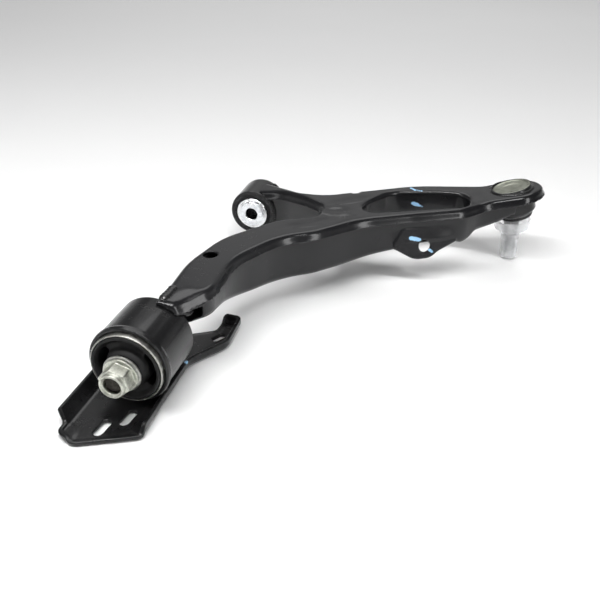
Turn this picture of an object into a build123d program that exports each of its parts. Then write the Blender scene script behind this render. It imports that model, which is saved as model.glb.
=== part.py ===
from build123d import *
import os
from math import cos, radians, sin, tan

# Front lower control arm, right-hand pressing, at rest on its rear bracket.
# Frame, in millimetres: origin at the centre of the front bush, +Y along the pivot axis from
# the rear bush to the front bush, +X outboard towards the ball joint, +Z up.

# ---- driving dimensions ----
T = 3.0                     # sheet thickness of both pressings
TOP = 40.0                  # height of the arm's flat top skin
LIP = 10.0                  # depth of the upper pressing's turned-down lip
LAP_DROP = 1.0              # how far the lower pressing's walls stop below the skin

FRONT_R = 28.0              # front eye tube, outside radius
FRONT_TUBE_LEN = 45.0
FRONT_SLEEVE_LEN = 56.0     # front inner sleeve, end to end
FRONT_BOLT_R = 7.3          # hole for an M14 bolt

REAR_R = 37.0               # rear bush housing, outside radius
REAR_HOUSING_Y = (-365.0, -308.0)
REAR_SLEEVE_Y = (-371.0, -307.0)
REAR_PIN_Y = (-376.6, -304.0)
REAR_BOLT_R = 8.0           # M16 pivot bolt
NUT_FLANGE_R = 17.8
NUT_AF = 25.0
NUT_END_Y = -398.4

BALL = Vector(314.0, 27.0, 30.5)      # centre of the ball joint
HOUSING_TILT = 16.0         # lean of the ball joint housing, top towards the pivot axis
STUD_TILT = 3.0             # lean of the stud as it rests in its transit cap
BALL_R = 13.5
HOUSING_R = 24.0
NOSE_R = 17.5
STUD_NECK_R = 6.5

RAMP_X = 280.0              # from here outwards the skin climbs to the ball joint
RAMP_ANGLE = 10.5
LEG_RAMP_X = 75.0           # from here inwards the front leg drops to the eye tube
LEG_RAMP_ANGLE = 10.3

BASE_Z = -45.0              # underside of the rear bracket
BASE_T = 4.0
EAR_Y = (-304.0, -300.0)    # the bracket's upright ear

BOND_GAP = 0.3              # clearance left round each rubber

# ---- the arm's plan outline: corner points with the radius of each corner ----
ARM_CORNERS = [
    ((50, -284), 30),
    ((47, -222), 90),
    ((78, -163), 70),
    ((111, -142), 80),
    ((152, -98), 100),
    ((205, -69), 150),
    ((262, -41), 40),
    ((284, -14), 40),
    ((345.5, 0.4), 33.5),
    ((345.5, 79), 31),
    ((274, 41), 50),
    ((196, 24), 150),
    ((82, -42), 45),
    ((2, 19), 2),
    ((2, -21), 2),
    ((38, -25), 60),
    ((101, -67), 18),
    ((101, -100), 15),
    ((64, -115), 60),
    ((17, -178), 90),
    ((4, -240), 120),
    ((8, -320), 2),
    ((25, -317), 8),
]
OVAL_CORNERS = [
    ((136, -85), 16),
    ((267, -27), 20),
    ((268, 10), 20),
    ((212, 6), 150),
    ((165, -6), 28),
]
BASE_CORNERS = [
    ((-46, -419), 9),
    ((-27, -429), 12),
    ((27, -405), 9),
    ((26, -350), 60),
    ((25.5, -297), 25),
    ((51, -258), 20),
    ((49, -210), 7),
    ((30, -208), 4),
    ((27.5, -233), 6),
    ((-6, -252), 30),
    ((-46, -286), 12),
]


def closed_outline(corners):
    """Sketch bounded by straight runs and corner arcs."""
    points = [point for point, _ in corners]
    radii = [radius for _, radius in corners]
    with BuildSketch() as sketch:
        with BuildLine():
            FilletPolyline(*points, radius=radii, close=True)
        make_face()
    return sketch.sketch


ARM_OUTLINE = closed_outline(ARM_CORNERS)
OVAL_OUTLINE = closed_outline(OVAL_CORNERS)
BASE_OUTLINE = closed_outline(BASE_CORNERS)


def grown(outline, amount):
    """The same outline moved outwards, or inwards where amount is negative."""
    if amount == 0:
        return outline
    with BuildSketch() as sketch:
        add(outline)
        offset(amount=amount, kind=Kind.INTERSECTION)
    return sketch.sketch


def arm_block(inset, drop):
    """Solid under the arm's top skin, inset from the outline and lowered from the skin."""
    top = TOP - drop
    far_x = 400.0
    far_top = top + (far_x - RAMP_X) * tan(radians(RAMP_ANGLE))
    leg_x = -40.0
    leg_top = top - (LEG_RAMP_X - leg_x) * tan(radians(LEG_RAMP_ANGLE))
    with BuildPart() as block:
        with BuildSketch(Plane.XY.offset(-70)):
            add(grown(ARM_OUTLINE, -inset))
        extrude(amount=170)
        with BuildSketch(Plane.XZ):
            with BuildLine():
                Polyline((-60, -80), (far_x, -80), (far_x, far_top), (RAMP_X, top), (-60, top), close=True)
            make_face()
        extrude(amount=450, both=True, mode=Mode.INTERSECT)
        with BuildSketch(Plane.XZ.offset(75)):
            with BuildLine():
                Polyline((LEG_RAMP_X, top), (leg_x, leg_top), (leg_x, 90), (LEG_RAMP_X, 90), close=True)
            make_face()
        extrude(amount=-170, mode=Mode.SUBTRACT)
    return block.part


def floor_space(lift):
    """Everything above the lower pressing's floor, raised by lift."""
    rise = 13.0 + lift
    low = -16.0 + lift
    with BuildPart() as space:
        with BuildSketch(Plane.YZ):
            with BuildLine():
                FilletPolyline((-340, rise), (-274, rise), (-198, low), (120, low), radius=110)
                Polyline((120, low), (120, 120), (-340, 120), (-340, rise))
            make_face()
        extrude(amount=400)
        with BuildSketch(Plane.XZ):
            with BuildLine():
                FilletPolyline(
                    (-60, low), (136, low), (206, 2 + lift), (262, 2 + lift), (287, 7 + lift),
                    (360, 44 + lift), radius=40,
                )
                Polyline((360, 44 + lift), (360, 120), (-60, 120), (-60, low))
            make_face()
        extrude(amount=450, both=True, mode=Mode.INTERSECT)
    return space.part


def tilted_plane(tilt):
    """Plane holding the ball centre and a leaning axis; its own +Y runs up that axis."""
    return Plane(origin=BALL, x_dir=(cos(radians(tilt)), 0, sin(radians(tilt))), z_dir=(0, -1, 0))


def tilted_axis(tilt):
    return Axis(origin=BALL, direction=(-sin(radians(tilt)), 0, cos(radians(tilt))))


def level_plane(tilt, height):
    """Plane square to a leaning axis, height above the ball centre."""
    direction = Vector(-sin(radians(tilt)), 0, cos(radians(tilt)))
    x_dir = (cos(radians(tilt)), 0, sin(radians(tilt)))
    return Plane(origin=BALL + direction * height, x_dir=x_dir, z_dir=direction)


def turned(points, tilt):
    """Solid turned about a leaning axis through the ball centre, from (radius, height) points."""
    with BuildPart() as solid:
        with BuildSketch(tilted_plane(tilt)):
            with BuildLine():
                Polyline(*points, close=True)
            make_face()
        revolve(axis=tilted_axis(tilt))
    return solid.part


def ring_about_y(inner_r, outer_r, y_from, y_to):
    """Plain tube about the pivot axis."""
    with BuildPart() as tube:
        with BuildSketch(Plane.XZ.offset(-y_from)):
            Circle(outer_r)
            if inner_r > 0:
                Circle(inner_r, mode=Mode.SUBTRACT)
        extrude(amount=y_from - y_to)
    return tube.part


def turned_about_y(points):
    """Solid turned about the pivot axis, from (radius, y) points."""
    with BuildPart() as solid:
        with BuildSketch(Plane.XY):
            with BuildLine():
                Polyline(*points, close=True)
            make_face()
        revolve(axis=Axis.Y)
    return solid.part


def bead_about_y(ring_r, bead_r, y, start, span):
    """Weld bead lying round the pivot axis, from the start angle above +X over the span."""
    with BuildPart() as bead:
        with BuildSketch(Plane.XY.rotated((0, -start, 0))):
            with Locations((ring_r, y)):
                Circle(bead_r)
        revolve(axis=Axis.Y, revolution_arc=-span)
    return bead.part


os.makedirs("parts", exist_ok=True)

# ---- pressed arm ----
front_void = ring_about_y(0, FRONT_R, -60, 60)
rear_void = ring_about_y(0, REAR_R, -460, REAR_SLEEVE_Y[1] + 0.5)
housing_void = turned([(0, -60), (HOUSING_R, -60), (HOUSING_R, 60), (0, 60)], HOUSING_TILT)

OVAL_COLLAR = 26.0          # depth of the drawn collar round the oval hole
PILOT_HOLE = (22.0, -220.0)
PILOT_R = 7.5

saddle = ring_about_y(REAR_R, REAR_R + T, -320, -296) & arm_block(0, 0) & Pos(23, -310, 35) * Box(28, 40, 24)
end_window = Pos(30, -318.5, 15.5) * Box(70, 40, 15) + Pos(25.5, -305, 25) * Box(11, 10, 8)
oval_plug = Pos(0, 0, -30) * extrude(grown(OVAL_OUTLINE, 2 * T), 50)

with BuildPart() as upper_shell:
    add(arm_block(0, 0))
    add(arm_block(T, T), mode=Mode.SUBTRACT)
    add(arm_block(-2, LIP), mode=Mode.SUBTRACT)
    # saddle over the crown of the rear bush housing
    add(saddle)
    # drawn collar round the oval hole
    with BuildSketch(Plane.XY.offset(TOP)):
        add(grown(OVAL_OUTLINE, T))
    extrude(amount=-OVAL_COLLAR)
    with BuildSketch(Plane.XY.offset(TOP)):
        add(OVAL_OUTLINE)
    extrude(amount=-OVAL_COLLAR, mode=Mode.SUBTRACT)
    with BuildSketch(Plane.XY.offset(TOP)):
        with Locations(PILOT_HOLE):
            Circle(PILOT_R)
        with Locations((131, -19)):
            SlotOverall(12, 6, rotation=28)
    extrude(amount=-T, mode=Mode.SUBTRACT)
    add(front_void, mode=Mode.SUBTRACT)
    add(rear_void, mode=Mode.SUBTRACT)
    add(housing_void, mode=Mode.SUBTRACT)
upper_shell.part.label = "upper_shell"
export_step(upper_shell.part, "parts/upper_shell.step")

TAB_HOLE_R = 7.0
TAB_LEAN = radians(15)      # the tab's foot stands out from the wall
TAB_ALONG = (0.88, 0.475, 0)
TAB_NORMAL = (0.475 * cos(TAB_LEAN), -0.88 * cos(TAB_LEAN), sin(TAB_LEAN))
TAB_PLANE = Plane(origin=(219.5, -62.0, 0.5), x_dir=TAB_ALONG, z_dir=TAB_NORMAL)
CAP_SWING_R = 29.2          # room that the transit cap needs inside the lower pressing
SHELL_END_X = 317.0         # the lower pressing stops half way round the ball joint

with BuildPart() as lower_shell:
    add(arm_block(T, T + LAP_DROP) & floor_space(0))
    add(arm_block(2 * T, -20) & floor_space(T), mode=Mode.SUBTRACT)
    # collar round the oval hole, lapping outside the upper pressing's collar
    add(oval_plug & floor_space(0))
    with BuildSketch(Plane.XY.offset(-30)):
        add(grown(OVAL_OUTLINE, T))
    extrude(amount=60, mode=Mode.SUBTRACT)
    # drain hole in the floor of the rear leg, and the opening below the ball joint
    with BuildSketch(Plane.XY.offset(-30)):
        with Locations((96, -124)):
            Circle(9)
        with Locations((BALL.X, BALL.Y)):
            Circle(CAP_SWING_R)
        with Locations((SHELL_END_X + 30, BALL.Y)):
            Rectangle(60, 120)
    extrude(amount=54, mode=Mode.SUBTRACT)
    with BuildSketch(Plane.XY.offset(20)):
        with Locations((SHELL_END_X + 30, BALL.Y)):
            Rectangle(60, 120)
    extrude(amount=60, mode=Mode.SUBTRACT)
    # open end of the rear leg, below the upper pressing's lip
    add(end_window, mode=Mode.SUBTRACT)
    # side tab for the stabiliser link
    with BuildSketch(TAB_PLANE):
        with BuildLine():
            FilletPolyline(
                (-40, 2), (-13, -15), (7, -15), (16, -8), (42, 3), (38, 12), (-34, 12),
                radius=[6, 12, 12, 10, 3, 3, 3], close=True,
            )
        make_face()
        Circle(TAB_HOLE_R, mode=Mode.SUBTRACT)
    extrude(amount=T)
    add(front_void, mode=Mode.SUBTRACT)
    add(rear_void, mode=Mode.SUBTRACT)
    add(housing_void, mode=Mode.SUBTRACT)
    add(upper_shell.part, mode=Mode.SUBTRACT)
lower_shell.part.label = "lower_shell"
export_step(lower_shell.part, "parts/lower_shell.step")

# ---- front bush ----
FRONT_TUBE_IN_R = 24.8
FRONT_CAN_IN_R = 23.2
FRONT_SLEEVE_R = 12.0
half_tube = FRONT_TUBE_LEN / 2
half_sleeve = FRONT_SLEEVE_LEN / 2

with BuildPart() as front_eye_tube:
    with BuildSketch(Plane.XZ.offset(-half_tube)):
        Circle(FRONT_R)
        Circle(FRONT_TUBE_IN_R, mode=Mode.SUBTRACT)
    extrude(amount=FRONT_TUBE_LEN)
    chamfer(front_eye_tube.edges().filter_by(GeomType.CIRCLE), 0.8)
front_eye_tube.part.label = "front_eye_tube"
export_step(front_eye_tube.part, "parts/front_eye_tube.step")

with BuildPart() as front_outer_sleeve:
    with BuildSketch(Plane.XZ.offset(-half_tube + 0.5)):
        Circle(FRONT_TUBE_IN_R)
        Circle(FRONT_CAN_IN_R, mode=Mode.SUBTRACT)
    extrude(amount=FRONT_TUBE_LEN - 1)
front_outer_sleeve.part.label = "front_outer_sleeve"
export_step(front_outer_sleeve.part, "parts/front_outer_sleeve.step")

with BuildPart() as front_rubber:
    with BuildSketch(Plane.XY):
        with BuildLine():
            Polyline(
                (FRONT_SLEEVE_R + BOND_GAP, -23.4), (20.5, -23.4), (FRONT_CAN_IN_R, -20.5),
                (FRONT_CAN_IN_R, 20.5), (20.5, 23.4), (FRONT_SLEEVE_R + BOND_GAP, 23.4), close=True,
            )
        make_face()
        with Locations((17.5, 23.4), (17.5, -23.4)):
            Circle(2.6, mode=Mode.SUBTRACT)
    revolve(axis=Axis.Y)
front_rubber.part.label = "front_rubber"
export_step(front_rubber.part, "parts/front_rubber.step")

FRONT_HEAD_R = 15.5         # turned-up ends of the inner sleeve
with BuildPart() as front_inner_sleeve:
    with BuildSketch(Plane.XY):
        with BuildLine():
            Polyline(
                (FRONT_BOLT_R, -half_sleeve + 1), (FRONT_BOLT_R + 1, -half_sleeve),
                (FRONT_HEAD_R - 1.2, -half_sleeve), (FRONT_HEAD_R, -half_sleeve + 1.2),
                (FRONT_HEAD_R, -half_sleeve + 1.8), (FRONT_SLEEVE_R, -half_sleeve + 1.8),
                (FRONT_SLEEVE_R, half_sleeve - 1.8), (FRONT_HEAD_R, half_sleeve - 1.8),
                (FRONT_HEAD_R, half_sleeve - 1.2), (FRONT_HEAD_R - 1.2, half_sleeve),
                (FRONT_BOLT_R + 1, half_sleeve), (FRONT_BOLT_R, half_sleeve - 1), close=True,
            )
        make_face()
    revolve(axis=Axis.Y)
front_inner_sleeve.part.label = "front_inner_sleeve"
export_step(front_inner_sleeve.part, "parts/front_inner_sleeve.step")

FRONT_WASHER_R = 19.6
with BuildPart() as front_washers:
    for side in (-1, 1):
        add(turned_about_y([
            (FRONT_SLEEVE_R, side * (half_sleeve - 1.8)), (FRONT_WASHER_R - 1, side * (half_sleeve - 1.8)),
            (FRONT_WASHER_R, side * (half_sleeve - 2.6)), (FRONT_WASHER_R, side * (half_sleeve - 3.8)),
            (FRONT_SLEEVE_R, side * (half_sleeve - 3.8)),
        ]))
front_washers.part.label = "front_washers"
export_step(front_washers.part, "parts/front_washers.step")

# ---- rear bush ----
REAR_CAN_R = 34.0
REAR_CAN_IN_R = 32.0
REAR_PIN_R = 13.0
REAR_PIN_BORE = REAR_BOLT_R + 0.25

with BuildPart() as rear_housing:
    with BuildSketch(Plane.XY):
        with BuildLine():
            Polyline(
                (REAR_CAN_R, REAR_HOUSING_Y[0]), (REAR_R - 1.2, REAR_HOUSING_Y[0]),
                (REAR_R, REAR_HOUSING_Y[0] + 1.2), (REAR_R, REAR_HOUSING_Y[1]),
                (REAR_CAN_R, REAR_HOUSING_Y[1]), close=True,
            )
        make_face()
    revolve(axis=Axis.Y)
rear_housing.part.label = "rear_housing"
export_step(rear_housing.part, "parts/rear_housing.step")

with BuildPart() as rear_outer_sleeve:
    with BuildSketch(Plane.XY):
        with BuildLine():
            Polyline(
                (REAR_CAN_IN_R, REAR_SLEEVE_Y[0] + 0.8), (REAR_CAN_IN_R + 0.8, REAR_SLEEVE_Y[0]),
                (REAR_CAN_R - 0.5, REAR_SLEEVE_Y[0]), (REAR_CAN_R, REAR_SLEEVE_Y[0] + 0.8),
                (REAR_CAN_R, REAR_SLEEVE_Y[1]), (REAR_CAN_IN_R, REAR_SLEEVE_Y[1]), close=True,
            )
        make_face()
    revolve(axis=Axis.Y)
rear_outer_sleeve.part.label = "rear_outer_sleeve"
export_step(rear_outer_sleeve.part, "parts/rear_outer_sleeve.step")

with BuildPart() as rear_rubber:
    with BuildSketch(Plane.XY):
        with BuildLine():
            Polyline(
                (REAR_PIN_R + BOND_GAP, -374), (19, -374), (24, -366), (REAR_CAN_IN_R, -369),
                (REAR_CAN_IN_R, -309), (24, -313), (REAR_PIN_R + BOND_GAP, -309), close=True,
            )
        make_face()
    revolve(axis=Axis.Y)
    # kidney-shaped voids that soften the bush sideways
    with BuildSketch(Plane.XZ.offset(376)):
        for centre_angle in (0, 180):
            SlotArc(CenterArc((0, 0), 24, centre_angle - 38, 76), 7)
    extrude(amount=-75, mode=Mode.SUBTRACT)
rear_rubber.part.label = "rear_rubber"
export_step(rear_rubber.part, "parts/rear_rubber.step")

with BuildPart() as rear_inner_sleeve:
    add(ring_about_y(REAR_PIN_BORE, REAR_PIN_R, REAR_PIN_Y[0], REAR_PIN_Y[1]))
    chamfer(rear_inner_sleeve.edges().filter_by(GeomType.CIRCLE).sort_by(SortBy.RADIUS)[-2:], 0.8)
rear_inner_sleeve.part.label = "rear_inner_sleeve"
export_step(rear_inner_sleeve.part, "parts/rear_inner_sleeve.step")

WASHER_Y = (-379.6, REAR_PIN_Y[0])
with BuildPart() as rear_washer:
    add(turned_about_y([
        (REAR_PIN_BORE, WASHER_Y[0]), (NUT_FLANGE_R - 1, WASHER_Y[0]), (NUT_FLANGE_R, WASHER_Y[0] + 1),
        (NUT_FLANGE_R, WASHER_Y[1]), (REAR_PIN_BORE, WASHER_Y[1]),
    ]))
rear_washer.part.label = "rear_washer"
export_step(rear_washer.part, "parts/rear_washer.step")

with BuildPart() as rear_nut:
    with BuildSketch(Plane.XZ.offset(-WASHER_Y[0])):
        RegularPolygon(NUT_AF / 2, 6, major_radius=False, rotation=12)
    extrude(amount=WASHER_Y[0] - NUT_END_Y)
    # rounded hexagon corners and a turned-down collar at the free end
    with BuildSketch(Plane.XY):
        with BuildLine():
            Polyline(
                (0, WASHER_Y[0]), (16.4, WASHER_Y[0]), (16.4, WASHER_Y[0] - 1.6),
                (14.9, WASHER_Y[0] - 4), (14.9, WASHER_Y[0] - 9), (12.4, NUT_END_Y + 4),
                (12.0, NUT_END_Y), (0, NUT_END_Y), close=True,
            )
        make_face()
    revolve(axis=Axis.Y, mode=Mode.INTERSECT)
    with BuildSketch(Plane.XZ.offset(-WASHER_Y[0])):
        Circle(16.4)
    extrude(amount=1.8)
    with BuildSketch(Plane.XZ.offset(-WASHER_Y[0])):
        Circle(REAR_BOLT_R)
    extrude(amount=30, mode=Mode.SUBTRACT)
rear_nut.part.label = "rear_nut"
export_step(rear_nut.part, "parts/rear_nut.step")

BOLT_HEAD_Y = (EAR_Y[1], -289.0)
with BuildPart() as rear_bolt:
    with BuildSketch(Plane.XZ.offset(-BOLT_HEAD_Y[0])):
        RegularPolygon(12, 6, major_radius=False)
    extrude(amount=BOLT_HEAD_Y[0] - BOLT_HEAD_Y[1])
    with BuildSketch(Plane.XZ.offset(-BOLT_HEAD_Y[0])):
        Circle(16)
    extrude(amount=-2.5)
    with BuildSketch(Plane.XZ.offset(-BOLT_HEAD_Y[0])):
        Circle(REAR_BOLT_R)
    extrude(amount=BOLT_HEAD_Y[0] - NUT_END_Y - 4.5)
    chamfer(rear_bolt.faces().sort_by(Axis.Y)[0].edges(), 1.2)
rear_bolt.part.label = "rear_bolt"
export_step(rear_bolt.part, "parts/rear_bolt.step")

# ---- rear mounting bracket ----
FLANGE_T = 3.5
FLANGE_H = 7.0
base_top = BASE_Z + BASE_T
SLOT_W = 8.5
SLOT_L = 21.0
BASE_SLOTS = [((-11.5, -403), 84), ((4, -385), 84)]
FORK_SLOT = (35.5, -245)

with BuildPart() as rear_bracket:
    with BuildSketch(Plane.XY.offset(BASE_Z)):
        add(BASE_OUTLINE)
        for centre, angle in BASE_SLOTS:
            with Locations(centre):
                SlotOverall(SLOT_L, SLOT_W, rotation=angle, mode=Mode.SUBTRACT)
        with Locations(FORK_SLOT):
            SlotOverall(17, 7.5, rotation=60, mode=Mode.SUBTRACT)
    extrude(amount=BASE_T)
    # low upturned flange down the outboard edge and round the fork
    with BuildSketch(Plane.XY.offset(base_top)):
        add(BASE_OUTLINE)
        add(grown(BASE_OUTLINE, -FLANGE_T), mode=Mode.SUBTRACT)
        with BuildLine():
            Polyline((16, -399), (60, -399), (60, -200), (37, -200), (37, -260), (20, -296), close=True)
        make_face(mode=Mode.INTERSECT)
    extrude(amount=FLANGE_H)
    # inboard flange, leaning outwards
    with BuildSketch(Plane.XZ.offset(397)):
        with BuildLine():
            Polyline((-46, BASE_Z + 1), (-41, base_top), (-48, -30), (-52, -32), close=True)
        make_face()
    extrude(amount=-84)
rear_bracket.part.label = "rear_bracket"
export_step(rear_bracket.part, "parts/rear_bracket.step")

EAR_R = 20.0
with BuildPart() as bracket_ear:
    with BuildSketch(Plane.XZ.offset(-EAR_Y[1])):
        with BuildLine():
            CenterArc((0, 0), EAR_R, 0, 180)
            Polyline((EAR_R, 0), (18, base_top), (-26, base_top), (-EAR_R, 0))
        make_face()
        Circle(REAR_BOLT_R + 0.25, mode=Mode.SUBTRACT)
    extrude(amount=EAR_Y[1] - EAR_Y[0])
bracket_ear.part.label = "bracket_ear"
export_step(bracket_ear.part, "parts/bracket_ear.step")

# ---- ball joint: the cap, seat and housing lean together, the stud leans less ----
COVER_R = 22.4
BORE_R = 18.5
with BuildPart() as ball_housing:
    add(turned([
        (HOUSING_R, -13), (HOUSING_R, 17), (COVER_R + 0.1, 17), (COVER_R + 0.1, 15), (BORE_R, 15),
        (BORE_R, -7), (12.8, -7), (12.8, -10), (15, -16.5), (NOSE_R, -16.5), (NOSE_R, -13),
    ], HOUSING_TILT))
ball_housing.part.label = "ball_housing"
export_step(ball_housing.part, "parts/ball_housing.step")

with BuildPart() as ball_cover:
    add(turned([
        (0, 15), (COVER_R, 15), (COVER_R, 17.2), (COVER_R - 1.4, 18.3), (COVER_R - 3.4, 18.3),
        (COVER_R - 4.4, 17.7), (0, 17.7),
    ], HOUSING_TILT))
ball_cover.part.label = "ball_cover"
export_step(ball_cover.part, "parts/ball_cover.step")

with BuildPart() as bearing_seat:
    add(turned([(0, -6.9), (BORE_R - 0.1, -6.9), (BORE_R - 0.1, 14.9), (0, 14.9)], HOUSING_TILT))
    with Locations(BALL):
        Sphere(BALL_R + 0.1, mode=Mode.SUBTRACT)
bearing_seat.part.label = "bearing_seat"
export_step(bearing_seat.part, "parts/bearing_seat.step")

STUD_COLLAR = (-24.0, -26.0)
TAPER_END = -48.0
STUD_END = -70.0
TAPER_R = (8.8, 7.3)
THREAD_R = 6.0
with BuildPart() as ball_stud:
    with Locations(BALL):
        Sphere(BALL_R)
    add(turned([
        (0, -8), (STUD_NECK_R, -8), (STUD_NECK_R, STUD_COLLAR[0]), (9, STUD_COLLAR[0]),
        (9, STUD_COLLAR[1]), (TAPER_R[0], STUD_COLLAR[1]), (TAPER_R[1], TAPER_END), (THREAD_R, TAPER_END),
        (THREAD_R, STUD_END + 1.5), (THREAD_R - 1.5, STUD_END), (0, STUD_END),
    ], STUD_TILT))
ball_stud.part.label = "ball_stud"
export_step(ball_stud.part, "parts/ball_stud.step")

BOOT_T = 1.4


def boot_skin(inset, overrun):
    """Lofted skin from the housing's nose to the stud's neck, inset by the rubber's thickness."""
    stations = [
        (HOUSING_TILT, -13.4 + overrun, 19.1),
        (HOUSING_TILT, -16.8, 19.1),
        ((HOUSING_TILT + STUD_TILT) / 2, -20.2 + inset, 17.0),
        (STUD_TILT, -21.4 + inset, 8.2),
        (STUD_TILT, -23.8 - overrun, 8.2),
    ]
    with BuildPart() as skin:
        for tilt, height, radius in stations:
            with BuildSketch(level_plane(tilt, height)):
                Circle(radius - inset)
        loft(ruled=True)
    return skin.part


with BuildPart() as dust_boot:
    add(boot_skin(0, 0))
    add(boot_skin(BOOT_T, 1), mode=Mode.SUBTRACT)
dust_boot.part.label = "dust_boot"
export_step(dust_boot.part, "parts/dust_boot.step")

with BuildPart() as boot_upper_ring:
    with BuildSketch(tilted_plane(HOUSING_TILT)):
        with Locations((19.9, -15)):
            Circle(0.7)
    revolve(axis=tilted_axis(HOUSING_TILT))
boot_upper_ring.part.label = "boot_upper_ring"
export_step(boot_upper_ring.part, "parts/boot_upper_ring.step")

with BuildPart() as boot_lower_ring:
    with BuildSketch(tilted_plane(STUD_TILT)):
        with Locations((8.9, -22.9)):
            Circle(0.6)
    revolve(axis=tilted_axis(STUD_TILT))
boot_lower_ring.part.label = "boot_lower_ring"
export_step(boot_lower_ring.part, "parts/boot_lower_ring.step")

CAP_RIM = -22.5
CAP_MOUTH_R = 22.0
CAP_BELL_R = 19.6
CAP_SHOULDER = -34.5
CAP_NECK = -40.5
CAP_TUBE_R = 10.8
CAP_END = -73.0
CAP_T = 1.4
with BuildPart() as transit_cap:
    add(turned([
        (CAP_MOUTH_R, CAP_RIM), (CAP_BELL_R, CAP_SHOULDER), (CAP_TUBE_R, CAP_NECK),
        (CAP_TUBE_R - 0.4, CAP_END), (0, CAP_END), (0, CAP_END + CAP_T),
        (CAP_TUBE_R - CAP_T - 0.4, CAP_END + CAP_T), (CAP_TUBE_R - CAP_T, CAP_NECK + 1),
        (CAP_BELL_R - CAP_T, CAP_SHOULDER + 0.8), (CAP_MOUTH_R - CAP_T, CAP_RIM),
    ], STUD_TILT))
transit_cap.part.label = "transit_cap"
export_step(transit_cap.part, "parts/transit_cap.step")

# ---- welds ----
outer_side = Pos(25, -25, 0) * Box(60, 10, 90)
near_bead = bead_about_y(FRONT_R + 0.6, 2.4, -half_tube + 2.0, -28, 88) & outer_side
with BuildPart() as front_weld:
    add(near_bead)
    add(bead_about_y(FRONT_R + 0.6, 2.4, 17.5, -28, 88))
    for neighbour in (upper_shell, lower_shell, front_eye_tube):
        add(neighbour.part, mode=Mode.SUBTRACT)
front_weld.part.label = "front_weld"
export_step(front_weld.part, "parts/front_weld.step")

with BuildPart() as rear_weld:
    with BuildSketch(Plane.XZ.offset(291)):
        with Locations((7.8, 39.4)):
            Circle(2.6)
    extrude(amount=24)
    for neighbour in (upper_shell, lower_shell, rear_housing):
        add(neighbour.part, mode=Mode.SUBTRACT)
rear_weld.part.label = "rear_weld"
export_step(rear_weld.part, "parts/rear_weld.step")

with BuildPart() as housing_weld:
    with BuildSketch(tilted_plane(HOUSING_TILT)):
        with Locations((HOUSING_R + 0.5, 8.5)):
            Circle(2.4)
    revolve(axis=tilted_axis(HOUSING_TILT))
    for neighbour in (upper_shell, lower_shell, ball_housing):
        add(neighbour.part, mode=Mode.SUBTRACT)
housing_weld.part.label = "housing_weld"
export_step(housing_weld.part, "parts/housing_weld.step")

with BuildPart() as ear_weld:
    for edge_y in EAR_Y:
        with BuildSketch(Plane.YZ.offset(-26)):
            with Locations((edge_y, base_top)):
                Circle(2.2)
        extrude(amount=44)
    for neighbour in (rear_bracket, bracket_ear):
        add(neighbour.part, mode=Mode.SUBTRACT)
ear_weld.part.label = "ear_weld"
export_step(ear_weld.part, "parts/ear_weld.step")
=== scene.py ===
"""Visual model of a pressed-steel suspension control arm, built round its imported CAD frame."""

import math

import bmesh
import bpy
import numpy as np
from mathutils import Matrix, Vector


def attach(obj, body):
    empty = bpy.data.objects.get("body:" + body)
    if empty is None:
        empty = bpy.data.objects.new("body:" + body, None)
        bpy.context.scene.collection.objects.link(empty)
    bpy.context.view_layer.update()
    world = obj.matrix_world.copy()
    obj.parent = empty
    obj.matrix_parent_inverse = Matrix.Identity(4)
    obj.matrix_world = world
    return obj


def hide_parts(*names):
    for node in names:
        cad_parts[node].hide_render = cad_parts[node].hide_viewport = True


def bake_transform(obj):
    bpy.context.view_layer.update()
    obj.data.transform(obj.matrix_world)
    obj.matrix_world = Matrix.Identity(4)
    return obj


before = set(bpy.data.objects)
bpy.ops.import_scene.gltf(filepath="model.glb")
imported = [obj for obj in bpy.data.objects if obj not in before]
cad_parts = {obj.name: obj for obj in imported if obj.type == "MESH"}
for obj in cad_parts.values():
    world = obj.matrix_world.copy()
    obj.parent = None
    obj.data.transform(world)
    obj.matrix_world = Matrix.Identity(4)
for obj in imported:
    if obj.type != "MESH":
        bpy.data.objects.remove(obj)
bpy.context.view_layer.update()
MM = 0.001

# ---------------------------------------------------------------- camera (metres)
camera = bpy.data.objects.new("camera", bpy.data.cameras.new("camera"))
bpy.context.scene.collection.objects.link(camera)
camera.data.lens = 43.68
camera.data.sensor_width = 36
camera.data.clip_start = 0.05
camera.location = (0.2782, -0.8260, 0.3689)
camera.rotation_mode = "QUATERNION"
camera.rotation_quaternion = Vector((-0.2243, 0.8332, -0.5054)).to_track_quat("-Z", "Y")
bpy.context.scene.camera = camera


# ---------------------------------------------------------------- shape helpers (millimetres)
def unit(v):
    """Vector of length 1."""
    v = np.asarray(v, float)
    return v / np.linalg.norm(v)


def cross2(a, b):
    """Cross product of two plan vectors."""
    return a[0] * b[1] - a[1] * b[0]


def corner_arcs(corners, closed=True):
    """(start, end, centre, radius, turn) of the arc at each (x, y, radius) corner."""
    pts = [np.array(c[:2], float) for c in corners]
    count = len(pts)
    arcs = []
    for i, p in enumerate(pts):
        r = corners[i][2]
        if not closed and i in (0, count - 1) or r == 0:
            arcs.append((p, p, p, 0.0, 1.0))
            continue
        u, v = unit(pts[i - 1] - p), unit(pts[(i + 1) % count] - p)
        half = 0.5 * math.acos(np.clip(u @ v, -1, 1))
        cut = r / math.tan(half)
        centre = p + unit(u + v) * r / math.sin(half)
        arcs.append((p + u * cut, p + v * cut, centre, r, 1.0 if cross2(-u, v) > 0 else -1.0))
    return arcs


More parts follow.
